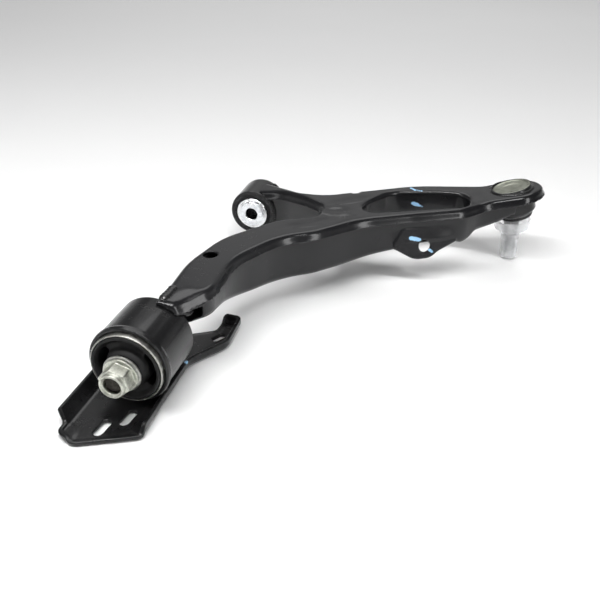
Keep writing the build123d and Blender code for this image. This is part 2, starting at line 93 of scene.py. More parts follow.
def plan_distance(corners):
    """Signed distance in plan to a closed outline of straight runs and tangent arcs."""
    arcs = corner_arcs(corners)

    def distance(x, y):
        best = np.full(np.broadcast(x, y).shape, 1e6, np.result_type(x, np.float32))
        value = best.copy()

        def keep(d, signed):
            nonlocal best, value
            closer = d < best
            best = np.where(closer, d, best)
            value = np.where(closer, signed, value)

        for i, (start, end, centre, r, turn) in enumerate(arcs):
            a, b = end, arcs[(i + 1) % len(arcs)][0]
            run = b - a
            length2 = float(run @ run) + 1e-9
            t = np.clip(((x - a[0]) * run[0] + (y - a[1]) * run[1]) / length2, 0, 1)
            d = np.hypot(x - a[0] - t * run[0], y - a[1] - t * run[1])
            left = run[0] * (y - a[1]) - run[1] * (x - a[0])
            keep(d, np.where(left > 0, -d, d))
            if r > 0:
                wx, wy = x - centre[0], y - centre[1]
                s, e = start - centre, end - centre
                inside = ((s[0] * wy - s[1] * wx) * turn >= 0) & ((wx * e[1] - wy * e[0]) * turn >= 0)
                gap = (np.hypot(wx, wy) - r) * turn
                keep(np.where(inside, np.abs(gap), 1e6), gap)
        return value

    return distance


def round_max(a, b, r):
    """Overlap of two solids, its edge rounded to radius r."""
    u, v = np.maximum(a + r, 0), np.maximum(b + r, 0)
    return np.minimum(np.maximum(a, b), -r) + np.sqrt(u * u + v * v)


def round_min(a, b, r):
    """Union of two solids with a fillet of radius r."""
    return -round_max(-a, -b, r)


def ramp(t, soft):
    """0 below 0 and t above it, with a soft knee."""
    return 0.5 * (t + np.sqrt(t * t + soft * soft))


def step(t, low, high):
    """Smooth 0 to 1 as t goes from low to high."""
    t = np.clip((t - low) / (high - low), 0, 1)
    return t * t * (3 - 2 * t)


def hump(x, y, cx, cy, rx, ry, angle=0.0):
    """Smooth bump of height 1 over an ellipse."""
    c, s = math.cos(math.radians(angle)), math.sin(math.radians(angle))
    u, v = ((x - cx) * c + (y - cy) * s) / rx, (-(x - cx) * s + (y - cy) * c) / ry
    return np.exp(-(u * u + v * v) ** 1.5)


def capsule(x, y, ax, ay, bx, by):
    """Plan distance to the line from a to b."""
    t = np.clip(((x - ax) * (bx - ax) + (y - ay) * (by - ay)) / ((bx - ax) ** 2 + (by - ay) ** 2), 0, 1)
    return np.hypot(x - ax - t * (bx - ax), y - ay - t * (by - ay))


def mesh_object(name, verts, faces, body, material, replaces=()):
    """Object from vertices in millimetres, riding on its body."""
    verts = np.asarray(verts, float) * MM
    mesh = bpy.data.meshes.new(name)
    if isinstance(faces, np.ndarray):
        count, sides = faces.shape
        mesh.vertices.add(len(verts))
        mesh.vertices.foreach_set("co", verts.astype(np.float32).ravel())
        mesh.loops.add(count * sides)
        mesh.loops.foreach_set("vertex_index", faces.astype(np.int32).ravel())
        mesh.polygons.add(count)
        mesh.polygons.foreach_set("loop_start", np.arange(0, count * sides, sides, dtype=np.int32))
        mesh.update(calc_edges=True)
        mesh.validate()
    else:
        mesh.from_pydata(verts.tolist(), [], faces)
    mesh.shade_smooth()
    piece = bpy.data.objects.new(name, mesh)
    bpy.context.scene.collection.objects.link(piece)
    mesh.materials.append(material)
    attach(piece, body)
    if replaces:
        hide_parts(*replaces)
    return piece


def carve(shape, low, high, cell):
    """Closed quad mesh of the surface where shape(x, y, z) is 0, inside a box."""
    axes = [np.arange(low[i], high[i] + cell, cell, dtype=np.float32) for i in range(3)]
    v = shape(axes[0][:, None, None], axes[1][None, :, None], axes[2][None, None, :])
    v = np.broadcast_to(v, [len(a) for a in axes]).astype(np.float32)
    dims = np.array(v.shape)
    strides = np.array([dims[1] * dims[2], dims[2], 1])
    ids, points, quads = [], [], []
    for axis in range(3):
        a = [slice(None)] * 3
        b = [slice(None)] * 3
        a[axis], b[axis] = slice(0, -1), slice(1, None)
        va, vb = v[tuple(a)], v[tuple(b)]
        where = np.argwhere((va < 0) != (vb < 0))
        pa, pb = va[tuple(where.T)], vb[tuple(where.T)]
        at = where.astype(float)
        at[:, axis] += pa / (pa - pb)
        u, w = (axis + 1) % 3, (axis + 2) % 3
        ring = []
        for du, dw in ((0, 0), (1, 0), (1, 1), (0, 1)):
            cellpos = where.copy()
            cellpos[:, u] -= du
            cellpos[:, w] -= dw
            ring.append(cellpos @ strides)
            points.append(at)
        quad = np.stack(ring, 1)
        quad[pa > 0] = quad[pa > 0][:, ::-1]
        ids.extend(ring)
        quads.append(quad)
    ids, points = np.concatenate(ids), np.concatenate(points)
    cells, index = np.unique(ids, return_inverse=True)
    count = np.bincount(index)
    verts = np.stack([np.bincount(index, points[:, i]) / count for i in range(3)], 1)
    verts = verts * cell + np.array([a[0] for a in axes], float)
    faces = np.searchsorted(cells, np.concatenate(quads))
    for _ in range(4):
        value = shape(*verts.T)
        slope = np.stack([
            shape(*(verts + d).T) - shape(*(verts - d).T) for d in np.eye(3) * 0.04
        ], 1) / 0.08
        move = slope * (value / (np.sum(slope ** 2, 1) + 1e-3))[:, None]
        size = np.linalg.norm(move, axis=1, keepdims=True)
        verts = verts - move * np.minimum(1, 0.4 * cell / (size + 1e-9))
    return verts, faces


def rounded_path(points, closed):
    """Dense (radius, height) path through (radius, height, corner radius) points."""
    arcs = corner_arcs(points, closed)
    path = []
    for start, end, centre, r, turn in arcs:
        if r == 0:
            path.append(start)
            continue
        s, e = start - centre, end - centre
        a0 = math.atan2(s[1], s[0])
        sweep = math.atan2(cross2(s, e), s @ e)
        steps = max(3, int(abs(sweep) / 0.22))
        turns = [a0 + sweep * k / steps for k in range(steps + 1)]
        path.extend(centre + r * np.array([math.cos(a), math.sin(a)]) for a in turns)
    dense = []
    last = len(path) if closed else len(path) - 1
    for i in range(last):
        a, b = path[i], path[(i + 1) % len(path)]
        dense.append(a)
        length = np.linalg.norm(b - a)
        if length > 1.2:
            dense.extend([a + (b - a) * 0.2 / length, b - (b - a) * 0.2 / length])
    if not closed:
        dense.append(path[-1])
    return np.array(dense)


def lathe(profile, base, axis, sides=112, closed=True, wave=None, dense=None):
    """Turned mesh about an axis; wave(height, angle) adds to the radius."""
    path = rounded_path(profile, closed) if dense is None else np.asarray(dense, float)
    axis = unit(axis)
    side = unit(np.cross(axis, (0.3, 0.4, 0.87) if abs(axis[2]) < 0.8 else (0, 1, 0)))
    up = np.cross(axis, side)
    angle = np.arange(sides) * 2 * np.pi / sides
    r = np.repeat(path[:, 0][:, None], sides, 1)
    h = np.repeat(path[:, 1][:, None], sides, 1)
    if wave is not None:
        r = np.where(r > 0.01, r + wave(h, angle[None, :]), r)
    ring = np.cos(angle)[None, :, None] * side + np.sin(angle)[None, :, None] * up
    verts = (np.asarray(base, float) + r[..., None] * ring + h[..., None] * axis).reshape(-1, 3)
    rows = len(path)
    last = rows if closed else rows - 1
    i, j = np.meshgrid(np.arange(last), np.arange(sides), indexing="ij")
    k, m = (i + 1) % rows, (j + 1) % sides
    faces = np.stack([i * sides + j, i * sides + m, k * sides + m, k * sides + j], -1).reshape(-1, 4)
    return verts, faces


def tidy(piece):
    """Merges points that meet on the axis and turns every face outwards."""
    bm = bmesh.new()
    bm.from_mesh(piece.data)
    bmesh.ops.remove_doubles(bm, verts=bm.verts, dist=1e-6)
    bmesh.ops.dissolve_degenerate(bm, edges=bm.edges, dist=1e-7)
    bmesh.ops.recalc_face_normals(bm, faces=bm.faces)
    bm.to_mesh(piece.data)
    bm.free()
    piece.data.shade_smooth()
    return piece


def turned(name, profile, base, axis, body, slot, material, replaces=(), **how):
    """Turned piece, with lathe's options in how."""
    verts, faces = lathe(profile, base, axis, **how)
    return tidy(mesh_object(name, verts, faces, body, material, replaces))


def bead(name, centres, normals, radius, body, material, replaces=(), pitch=2.6):
    """Weld bead along a line of points, with the ripples that the torch leaves."""
    centres, normals = np.asarray(centres, float), np.asarray(normals, float)
    travel = np.gradient(centres, axis=0)
    travel /= np.linalg.norm(travel, axis=1, keepdims=True)
    across = np.cross(travel, normals)
    run = np.concatenate([[0], np.cumsum(np.linalg.norm(np.diff(centres, axis=0), axis=1))])
    around = np.arange(20) * 2 * np.pi / 20
    ends = np.minimum(1, np.sqrt(np.clip(np.minimum(run, run[-1] - run) / radius, 0.002, 1)))
    phase = run[:, None] / pitch + 0.35 * np.cos(around)[None, :]
    ripple = 0.86 + 0.14 * np.abs(np.sin(np.pi * phase)) + 0.05 * np.sin(run * 0.41)[:, None]
    r = radius * ripple * ends[:, None]
    verts = centres[:, None, :] + r[..., None] * (
        np.cos(around)[None, :, None] * across[:, None, :] * 1.25
        + np.sin(around)[None, :, None] * normals[:, None, :] * 0.8)
    rows, sides = r.shape
    i, j = np.meshgrid(np.arange(rows - 1), np.arange(sides), indexing="ij")
    m = (j + 1) % sides
    faces = np.stack([i * sides + j, i * sides + m, (i + 1) * sides + m, (i + 1) * sides + j], -1)
    faces = faces.reshape(-1, 4).tolist()
    faces += [list(range(sides))[::-1], list(range((rows - 1) * sides, rows * sides))]
    return tidy(mesh_object(name, verts.reshape(-1, 3), faces, body, material, replaces))


# ---------------------------------------------------------------- materials
class Nodes:
    """Short way to add linked shader nodes to one material."""

    def __init__(self, name):
        self.material = bpy.data.materials.new(name)
        self.material.use_nodes = True
        self.tree = self.material.node_tree
        self.shader = self.tree.nodes["Principled BSDF"]
        self.place = self.add("ShaderNodeTexCoord").outputs["Object"]

    def add(self, kind, **settings):
        node = self.tree.nodes.new(kind)
        for key, value in settings.items():
            setattr(node, key, value)
        return node

    def link(self, source, socket):
        self.tree.links.new(source, socket)

    def put(self, socket, value):
        if isinstance(value, bpy.types.NodeSocket):
            self.link(value, socket)
        else:
            socket.default_value = value

    def math(self, operation, a, b=0.0, c=0.0):
        node = self.add("ShaderNodeMath", operation=operation)
        for socket, value in zip(node.inputs, (a, b, c)):
            self.put(socket, value)
        return node.outputs[0]

    def noise(self, scale, detail=3.0, rough=0.5, stretch=None):
        """Noise with scale features a metre, stretched by a factor for each axis."""
        node = self.add("ShaderNodeTexNoise")
        node.inputs["Scale"].default_value = scale
        node.inputs["Detail"].default_value = detail
        node.inputs["Roughness"].default_value = rough
        place = self.place
        if stretch:
            mapping = self.add("ShaderNodeMapping")
            mapping.inputs["Scale"].default_value = stretch
            self.link(self.place, mapping.inputs["Vector"])
            place = mapping.outputs["Vector"]
        self.link(place, node.inputs["Vector"])
        return node.outputs["Fac"]

    def band(self, value, low, high, to_low=0.0, to_high=1.0):
        """Smooth step from to_low to to_high as value goes from low to high."""
        node = self.add("ShaderNodeMapRange", interpolation_type="SMOOTHSTEP")
        self.put(node.inputs["Value"], value)
        for key, number in (("From Min", low), ("From Max", high), ("To Min", to_low), ("To Max", to_high)):
            node.inputs[key].default_value = number
        return node.outputs["Result"]

    def mix(self, factor, a, b):
        node = self.add("ShaderNodeMix", data_type="RGBA")
        self.put(node.inputs["Factor"], factor)
        for key, value in (("A", a), ("B", b)):
            socket = [s for s in node.inputs if s.name == key and s.type == "RGBA"][0]
            self.put(socket, value if isinstance(value, bpy.types.NodeSocket) else (*value, 1.0))
        return [s for s in node.outputs if s.type == "RGBA"][0]

    def bump(self, height, strength, distance, normal=None):
        node = self.add("ShaderNodeBump")
        node.inputs["Strength"].default_value = strength
        node.inputs["Distance"].default_value = distance
        self.link(height, node.inputs["Height"])
        if normal is not None:
            self.link(normal, node.inputs["Normal"])
        return node.outputs["Normal"]

    def finish(self, color=None, rough=None, normal=None, **constants):
        """Links the surface inputs and sets uniform numbers straight on the shader's sockets."""
        for key, value in (("Base Color", color), ("Roughness", rough), ("Normal", normal)):
            if value is not None:
                self.put(self.shader.inputs[key], (*value, 1.0) if isinstance(value, tuple) else value)
        for key, value in constants.items():
            self.shader.inputs[key.replace("_", " ")].default_value = value
        return self.material


def painted(name, dark, light, rough, marks=False, peel=0.35):
    """Black electrocoat: orange peel, dust, fine scuffs and a little wear on the edges."""
    n = Nodes(name)
    cloud = n.noise(14, 4, 0.6)
    grain = n.noise(900, 2, 0.6)
    color = n.mix(n.band(cloud, 0.35, 0.7), dark, light)
    dust = n.math("MULTIPLY", n.band(n.noise(60, 6, 0.7), 0.52, 0.75), n.band(grain, 0.45, 0.7))
    color = n.mix(n.math("MULTIPLY", dust, 0.05), color, (0.32, 0.31, 0.28))
    scuff = n.band(n.noise(110, 5, 0.8, (1.0, 7.0, 3.0)), 0.67, 0.75)
    color = n.mix(n.math("MULTIPLY", scuff, 0.07), color, (0.30, 0.30, 0.30))
    geometry = n.add("ShaderNodeNewGeometry")
    edge = n.math("MULTIPLY", n.band(geometry.outputs["Pointiness"], 0.56, 0.64),
                  n.band(n.noise(90, 3), 0.5, 0.62))
    color = n.mix(n.math("MULTIPLY", edge, 0.22), color, (0.22, 0.22, 0.23))
    roughness = n.math("ADD", n.band(cloud, 0.3, 0.75, rough - 0.05, rough + 0.05),
                       n.math("MULTIPLY", dust, 0.12))
    if marks:
        attribute = n.add("ShaderNodeAttribute", attribute_name="paint_mark")
        edge_noise = n.math("MULTIPLY_ADD", n.noise(420, 3, 0.6), 2.4, -1.2)
        mark = n.band(n.math("ADD", attribute.outputs["Fac"], edge_noise), -0.2, 0.5)
        streak = n.band(n.noise(300, 3, 0.6, (1, 1, 4)), 0.3, 0.6, 0.75, 1.0)
        mark = n.math("MULTIPLY", mark, streak)
        color = n.mix(mark, color, (0.33, 0.58, 0.84))
        roughness = n.math("ADD", roughness, n.math("MULTIPLY", mark, 0.25))
    normal = n.bump(n.noise(260, 2, 0.5), peel, 0.00012)
    normal = n.bump(grain, 0.10, 0.00006, normal)
    return n.finish(color, roughness, normal, Specular_IOR_Level=0.3, Coat_Weight=0.16, Coat_Roughness=0.07)


def metal(name, dark, light, rough, stretch=(1, 1, 1), scale=260, bump=0.15, metallic=1.0, bore=0.0):
    """Plated or machined steel with fine tool marks and stains, and painted shade (near black) inside a bore
    along Y.
    """
    n = Nodes(name)
    lines = n.noise(scale, 5, 0.7, stretch)
    stain = n.noise(70, 5, 0.65)
    color = n.mix(n.band(lines, 0.3, 0.7), dark, light)
    color = n.mix(n.band(stain, 0.5, 0.75, 0.0, 0.4), color, tuple(c * 0.55 for c in dark))
    roughness = n.math("ADD", n.band(stain, 0.3, 0.7, rough - 0.06, rough + 0.08),
                       n.band(lines, 0.3, 0.7, -0.03, 0.05))
    if bore:
        parts = n.add("ShaderNodeSeparateXYZ")
        n.link(n.place, parts.inputs[0])
        radius = n.math("SQRT", n.math("ADD", n.math("POWER", parts.outputs["X"], 2.0),
                                       n.math("POWER", parts.outputs["Z"], 2.0)))
        # painted shade: within the bore's radius the colour goes to near black, as if the recess were in
        # shade
        color = n.mix(n.band(radius, bore, bore + 0.0004), (0.03, 0.03, 0.03), color)
    return n.finish(color, roughness, n.bump(lines, bump, 0.0001), Metallic=metallic)


def rubber(name, dark, light, rough=0.62):
    """Moulded rubber: dull, slightly grey with release bloom and fine pores."""
    n = Nodes(name)
    bloom = n.noise(55, 5, 0.7)
    pores = n.noise(1400, 2, 0.6)
    color = n.mix(n.band(bloom, 0.4, 0.75), dark, light)
    roughness = n.band(bloom, 0.3, 0.7, rough - 0.08, rough + 0.1)
    normal = n.bump(pores, 0.25, 0.00008)
    return n.finish(color, roughness, n.bump(bloom, 0.2, 0.0003, normal), Specular_IOR_Level=0.35)


def frosted(name):
    """Milky translucent polyethylene cap."""
    n = Nodes(name)
    cloud = n.noise(60, 4, 0.6)
    flow = n.noise(90, 3, 0.6, (1, 1, 0.25))
    color = n.mix(n.band(cloud, 0.35, 0.7), (0.80, 0.82, 0.84), (0.93, 0.94, 0.95))
    roughness = n.band(flow, 0.3, 0.7, 0.30, 0.48)
    normal = n.bump(flow, 0.15, 0.0003)
    n.shader.inputs["Subsurface Radius"].default_value = (1.0, 1.0, 1.0)
    alpha = n.band(cloud, 0.3, 0.7, 0.24, 0.33)
    n.put(n.shader.inputs["Alpha"], alpha)
    return n.finish(color, roughness, normal, Subsurface_Weight=0.3, Subsurface_Scale=0.004,
                    Specular_IOR_Level=0.5)


COAT = painted("coat", (0.0060, 0.0060, 0.0070), (0.0105, 0.0105, 0.0115), 0.22, marks=True)
TUBE_COAT = painted("tube_coat", (0.0055, 0.0055, 0.0060), (0.0095, 0.0095, 0.0100), 0.25)
PLATE_BLACK = (0.0060, 0.0060, 0.0065), (0.0105, 0.0105, 0.0110), 0.27
PLATE_COAT = painted("bracket_coat", *PLATE_BLACK, marks=True, peel=0.5)
EAR_COAT = painted("ear_coat", *PLATE_BLACK, peel=0.5)
WELD_COAT = painted("weld_coat", (0.0075, 0.0075, 0.0080), (0.014, 0.014, 0.014), 0.20, peel=0.6)
RUBBER = rubber("rubber", (0.0045, 0.0045, 0.0045), (0.012, 0.012, 0.0125))
BOOT_RUBBER = rubber("boot_rubber", (0.011, 0.011, 0.011), (0.025, 0.025, 0.026), 0.5)
STEEL = metal("steel", (0.42, 0.42, 0.41), (0.62, 0.62, 0.61), 0.34, (1, 0.15, 1))
ZINC = metal("zinc", (0.72, 0.73, 0.74), (0.90, 0.91, 0.92), 0.24, (1, 0.3, 1), 180)
# bore=0.0074 paints shade: the inside of the sleeve's bolt bore is coloured near black
SLEEVE_ZINC = metal("sleeve_zinc", (0.66, 0.68, 0.70), (0.86, 0.88, 0.90), 0.26, (1, 0.3, 1), 180,
                    bore=0.0074)
NUT_PLATE = metal("nut_plating", (0.40, 0.41, 0.36), (0.62, 0.63, 0.56), 0.38, (1, 1, 1), 420, 0.3)
BOLT_PLATE = metal("bolt_plating", (0.022, 0.020, 0.018), (0.06, 0.056, 0.05), 0.42, (1, 1, 1), 420, 0.3)
COVER_PLATE = metal("cover_plating", (0.26, 0.27, 0.22), (0.40, 0.41, 0.35), 0.33, (1, 1, 1), 150, 0.1)
STUD_STEEL = metal("stud_steel", (0.20, 0.20, 0.20), (0.34, 0.34, 0.34), 0.32, (1, 1, 0.2))
CAN_STEEL = metal("can_steel", (0.30, 0.30, 0.28), (0.46, 0.46, 0.43), 0.36, (1, 0.15, 1))
SPRING = metal("spring_steel", (0.16, 0.16, 0.16), (0.26, 0.26, 0.26), 0.35)
SEAT = rubber("seat_plastic", (0.60, 0.58, 0.50), (0.72, 0.70, 0.62), 0.4)
CAP = frosted("cap_plastic")

# ---------------------------------------------------------------- the pressed arm
T = 3.0  # sheet thickness
FIT = 0.05  # gap between the two pressings
BALL = np.array([314.0, 27.0, 30.5])  # centre of the ball joint
HOUSING_TILT, STUD_TILT = 16.0, 3.0  # lean inboard, in degrees
EYE_R, HOUSING_R, BALL_R = 28.1, 37.1, 24.1  # where the sheets stop at each round part
HOUSING_END = -306.5  # the rear housing's end nearest the arm
ARM = plan_distance([
    (50, -284, 30), (47, -222, 90), (78, -163, 70), (111, -142, 80), (152, -98, 100), (205, -69, 150),
    (262, -41, 40), (284, -14, 40), (345.5, 0.4, 33.5), (345.5, 79, 31), (274, 41, 50), (196, 24, 150),
    (82, -42, 45), (2, 19, 2), (2, -21, 2), (38, -25, 60), (101, -67, 18), (101, -100, 15), (64, -115, 60),
    (17, -178, 90), (4, -240, 120), (8, -320, 2), (25, -317, 8)])
OVAL = plan_distance([
    (142, -80, 14), (262, -29, 16), (265, 12, 20), (225, 10, 90), (172, -5, 35), (149, -42, 40)])
TAB = plan_distance([
    (-40, 2, 6), (-13, -15, 25), (7, -15, 20), (16, -8, 20), (42, 3, 4), (26, 22, 8), (-26, 22, 8)])


def lean_axis(tilt):
    """Upward direction that leans inboard by tilt degrees."""
    return np.array([-math.sin(math.radians(tilt)), 0, math.cos(math.radians(tilt))])


def neighbours(x, y, z):
    """Distance to the front eye, the rear housing or the ball housing, which the sheets stop at."""
    pivot = np.hypot(x, z)
    axis = lean_axis(HOUSING_TILT)
    h = (x - BALL[0]) * axis[0] + (z - BALL[2]) * axis[2]
    r2 = (x - BALL[0]) ** 2 + (y - BALL[1]) ** 2 + (z - BALL[2]) ** 2 - h * h
    front = np.maximum(pivot - EYE_R, np.abs(y) - 60)
    rear = np.maximum(pivot - HOUSING_R, y - HOUSING_END)
    return np.minimum(np.minimum(front, rear), np.sqrt(np.maximum(r2, 0)) - BALL_R)


def skin_height(x, y):
    """Height of the arm's top skin, with its pressed beads and dishes."""
    h = 40 + math.tan(math.radians(10.5)) * ramp(x - 280, 12.0)
    h = h - math.tan(math.radians(10.3)) * ramp(75 - x, 14.0) * step(y, -95, -85)
    h = h - 2.2 * hump(x, y, 119, -80, 15, 12, 20)
    h = h - 1.3 * hump(x, y, 106, -117, 30, 8, 35)
    h = h + 0.8 * hump(x, y, 126, -104, 26, 7, 38)
    h = h - 1.2 * hump(x, y, 130, -45, 24, 8, 38)
    h = h - 1.0 * hump(x, y, 272, -4, 9, 22, 0)
    return h - 5.0 * step(-y, 284, 318) * step(x, 12, 34)


def upper_shape(x, y, z):
    """Top skin with its turned-down lip, oval collar, rear saddle and holes."""
    s, o, top = ARM(x, y), OVAL(x, y), skin_height(x, y)
    low = top - 10
    flare = 3.0 * np.clip(1 - (z - low) / 6.0, 0, 1) ** 2 * step(o, 2, 8)
    outer = round_max(s - flare, z - top, 6.5)
    outer = round_max(outer, -o, 5.0)
    sheet = round_max(outer, -(outer + T), 0.9)
    bottom = np.where(o < -s, 14.0, low)
    sheet = round_max(sheet, bottom - z, 0.9)
    saddle = np.maximum(np.abs(x - 22) - 13.5, np.abs(y + 309) - 13)
    saddle = np.maximum(np.abs(np.hypot(x, z) - 38.7) - 1.5, saddle)
    saddle = round_max(np.maximum(saddle, 20 - z), s + 0.4, 1.2)
    sheet = round_min(sheet, saddle, 3.0)
    holes = np.minimum(np.hypot(x - 22, y + 220) - 7.5, capsule(x, y, 128.4, -20.4, 133.6, -17.6) - 3)
    holes = np.maximum(holes, 30 - z)
    sheet = round_max(sheet, -holes, 0.8)
    return round_max(sheet, -neighbours(x, y, z), 0.7)


def floor_height(x, y):
    """Height of the lower pressing's underside."""
    across = (-16 + 0.2571 * (ramp(x - 136, 9.0) - ramp(x - 206, 9.0)) + 0.2 * ramp(x - 262, 8.0)
              + 0.3068 * ramp(x - 287, 8.0))
    along = -16 + 0.33 * (ramp(-198 - y, 26.0) - ramp(-274 - y, 22.0))
    base = across + ramp(along - across, 4.0) - 0.5
    base = base - 1.6 * hump(x, y, 70, -150, 40, 12, 52) - 1.2 * hump(x, y, 25, -250, 9, 34, 0)
    return base - 6.5 * hump(x, y, 265, -34, 14, 13, 0)


TAB_LEAN = math.radians(15)
TAB_ALONG = unit((0.88, 0.475, 0))
TAB_NORMAL = unit((0.475 * math.cos(TAB_LEAN), -0.88 * math.cos(TAB_LEAN), math.sin(TAB_LEAN)))
TAB_UP = np.cross(TAB_NORMAL, TAB_ALONG)
TAB_AT = np.array([219.5, -62.0, 0.5])


def lower_shape(x, y, z):
    """Trough under the top skin: floor, walls, oval collar, side tab, drain and rear window."""
    dx, dy, dz = x - TAB_AT[0], y - TAB_AT[1], z - TAB_AT[2]
    u = dx * TAB_ALONG[0] + dy * TAB_ALONG[1]
    w = dx * TAB_NORMAL[0] + dy * TAB_NORMAL[1] + dz * TAB_NORMAL[2]
    v = dx * TAB_UP[0] + dy * TAB_UP[1] + dz * TAB_UP[2]
    swell = 6.3 * np.exp(-(u / 45) ** 4) * step(-z, -27, 0) * step(w, -22, -10)
    s, o, top = ARM(x, y) + T + FIT - swell, OVAL(x, y) - T - FIT, skin_height(x, y)
    outer = round_max(s, floor_height(x, y) - z, 8.0)
    outer = round_max(outer, -o, 4.0)
    sheet = round_max(outer, -(outer + T), 0.9)
    high = np.where(OVAL(x, y) + 3 < -ARM(x, y), 20.0, top - T - 1.1)
    sheet = round_max(sheet, z - high, 0.8)
    tab = round_max(round_max(TAB(u, v), np.abs(w - 1.5) - 1.5, 0.9), -(outer + 1.0), 0.3)
    sheet = round_min(sheet, tab, 0.5 + 3.5 * step(-v, -4, 2))
    sheet = round_max(sheet, -np.maximum(np.hypot(u, v) - 7.0, np.abs(w - 1.5) - 6), 0.8)
    drain = np.maximum(np.hypot(x - 96, y + 124) - 9, z)
    below = np.maximum(np.hypot(x - BALL[0], y - BALL[1]) - 29.2, z - 24)
    end = 317 - x
    window = np.minimum(np.maximum(y + 290, np.abs(z - 17.5) - 5.5), np.maximum(y + 298.5, x - 33))
    window = np.maximum(window, z - 23)
    cut = neighbours(x, y, z)
    for hole in (drain, below, end, window):
        cut = np.minimum(cut, hole)
    return round_max(sheet, -cut, 0.8)


def mark_field(piece, marks):
    """Stores how far inside a paint dab each point is, in millimetres."""
    co = np.empty(len(piece.data.vertices) * 3, np.float32)
    piece.data.vertices.foreach_get("co", co)
    co = co.reshape(-1, 3) / MM
    field = np.full(len(co), -50.0, np.float32)
    for a, b, width in marks:
        a, b = np.array(a, float), np.array(b, float)
        t = np.clip((co - a) @ (b - a) / ((b - a) @ (b - a) + 1e-9), 0, 1)
        field = np.maximum(field, width - np.linalg.norm(co - a - t[:, None] * (b - a), axis=1))
    attribute = piece.data.attributes.new("paint_mark", "FLOAT", "POINT")
    attribute.data.foreach_set("value", field.astype(np.float32))


def cell(fine, coarse):
    return fine


verts, faces = carve(upper_shape, (-8, -332, 8), (350, 62, 66), cell(1.1, 2.2))
upper = mesh_object("upper_pressing", verts, faces, "arm", COAT, ["upper_shell"])
verts, faces = carve(lower_shape, (-8, -332, -28), (326, 62, 52), cell(1.1, 2.2))
lower = mesh_object("lower_pressing", verts, faces, "arm", COAT, ["lower_shell"])

# ---------------------------------------------------------------- rear bracket
BASE_Z, BASE_T = -45.0, 4.0
BASE = plan_distance([
    (-46, -419, 9), (-27, -429, 12), (27, -405, 9), (26, -350, 60), (25.5, -297, 25), (51, -258, 20),
    (49, -210, 7), (30, -208, 4), (27.5, -233, 6), (-6, -252, 30), (-46, -286, 12)])
FLANGED = plan_distance([
    (16, -399, 4), (60, -399, 4), (60, -200, 4), (28, -200, 3), (28, -215, 3), (38, -223, 6), (38, -258, 16),
    (20, -296, 20)])


def bracket_shape(x, y, z):
    """Plate with an upturned flange along the fork, a wing on the far edge and three slots."""
    s = BASE(x, y)
    turned_up = step(-FLANGED(x, y), -5, 4)
    corner = step(-np.hypot(x + 44, y + 420) + 14, -4, 4)
    outer = round_max(s, BASE_Z - z, 1.4 + 5.0 * turned_up + 3.0 * corner)
    sheet = round_max(outer, -(outer + BASE_T - 0.4 * turned_up), 0.8)
    high = BASE_Z + BASE_T + 7.0 * turned_up + 1.6 * corner
    sheet = round_max(sheet, z - high, 1.0)
    section = capsule(x, z, -43.0, -43.0, -51.6, -31.2) - 1.75
    wing = round_max(section, np.abs(y + 360) - 48.0 + 0.5 * (z + 42) * (y < -360), 1.0)
    sheet = round_min(sheet, wing, 3.0)
    slots = capsule(x, y, -12.15, -409.2, -10.85, -396.8) - 4.25
    slots = np.minimum(slots, capsule(x, y, 3.35, -391.2, 4.65, -378.8) - 4.25)
    slots = np.minimum(slots, capsule(x, y, 33.4, -248.6, 37.6, -241.4) - 3.5)
    return round_max(sheet, -slots, 0.8)


verts, faces = carve(bracket_shape, (-58, -436, -49), (58, -198, -24), cell(1.1, 2.0))
bracket = mesh_object("rear_bracket_plate", verts, faces, "rear_mount", PLATE_COAT,
                      ["rear_bracket"])

# ---------------------------------------------------------------- front bush
Y = (0, 1, 0)
ORIGIN = (0, 0, 0)
turned("front_eye", [(24.8, -22.5, 0.8), (28, -22.5, 1.0), (28, 22.5, 1.0), (24.8, 22.5, 0.8)],
       ORIGIN, Y, "arm", "coat", TUBE_COAT, ["front_eye_tube"])
turned("front_bush_rubber",
       [(12.3, -23.4, 0.5), (15.2, -23.6, 0.8), (16.0, -21.2, 0.9), (19.0, -21.0, 0.9), (20.2, -23.6, 0.9),
        (22.4, -22.9, 0.8), (23.2, -20.5, 0.5), (23.2, 20.5, 0.5), (22.4, 22.9, 0.8), (20.2, 23.6, 0.9),
        (19.0, 21.0, 0.9), (16.0, 21.2, 0.9), (15.2, 23.6, 0.8), (12.3, 23.4, 0.5)],
       ORIGIN, Y, "arm", "rubber", RUBBER, ["front_rubber"])
turned("front_bush_sleeve",
       [(7.3, -27, 0.2), (8.3, -28, 0.3), (14.6, -28, 0.7), (15.5, -27.2, 0.3), (15.4, -26.2, 0.1),
        (12, -26.2, 0.2), (12, 26.2, 0.2), (15.4, 26.2, 0.1), (15.5, 27.2, 0.3), (14.6, 28, 0.7),
        (8.3, 28, 0.3), (7.3, 27, 0.2)],
       ORIGIN, Y, "front_inner", "zinc", SLEEVE_ZINC, ["front_inner_sleeve"])
for side, name in ((-1, "near"), (1, "far")):
    turned(f"front_bush_washer_{name}",
           [(12.05, side * 26.3, 0.1), (16.4, side * 26.3, 0.3), (17.2, side * 25.6, 0.5),
            (18.9, side * 25.4, 0.4), (19.6, side * 24.6, 0.4), (19.4, side * 24.2, 0.1),
            (12.05, side * 24.2, 0.1)],
           ORIGIN, Y, "front_inner", "zinc", ZINC, ["front_washers"])

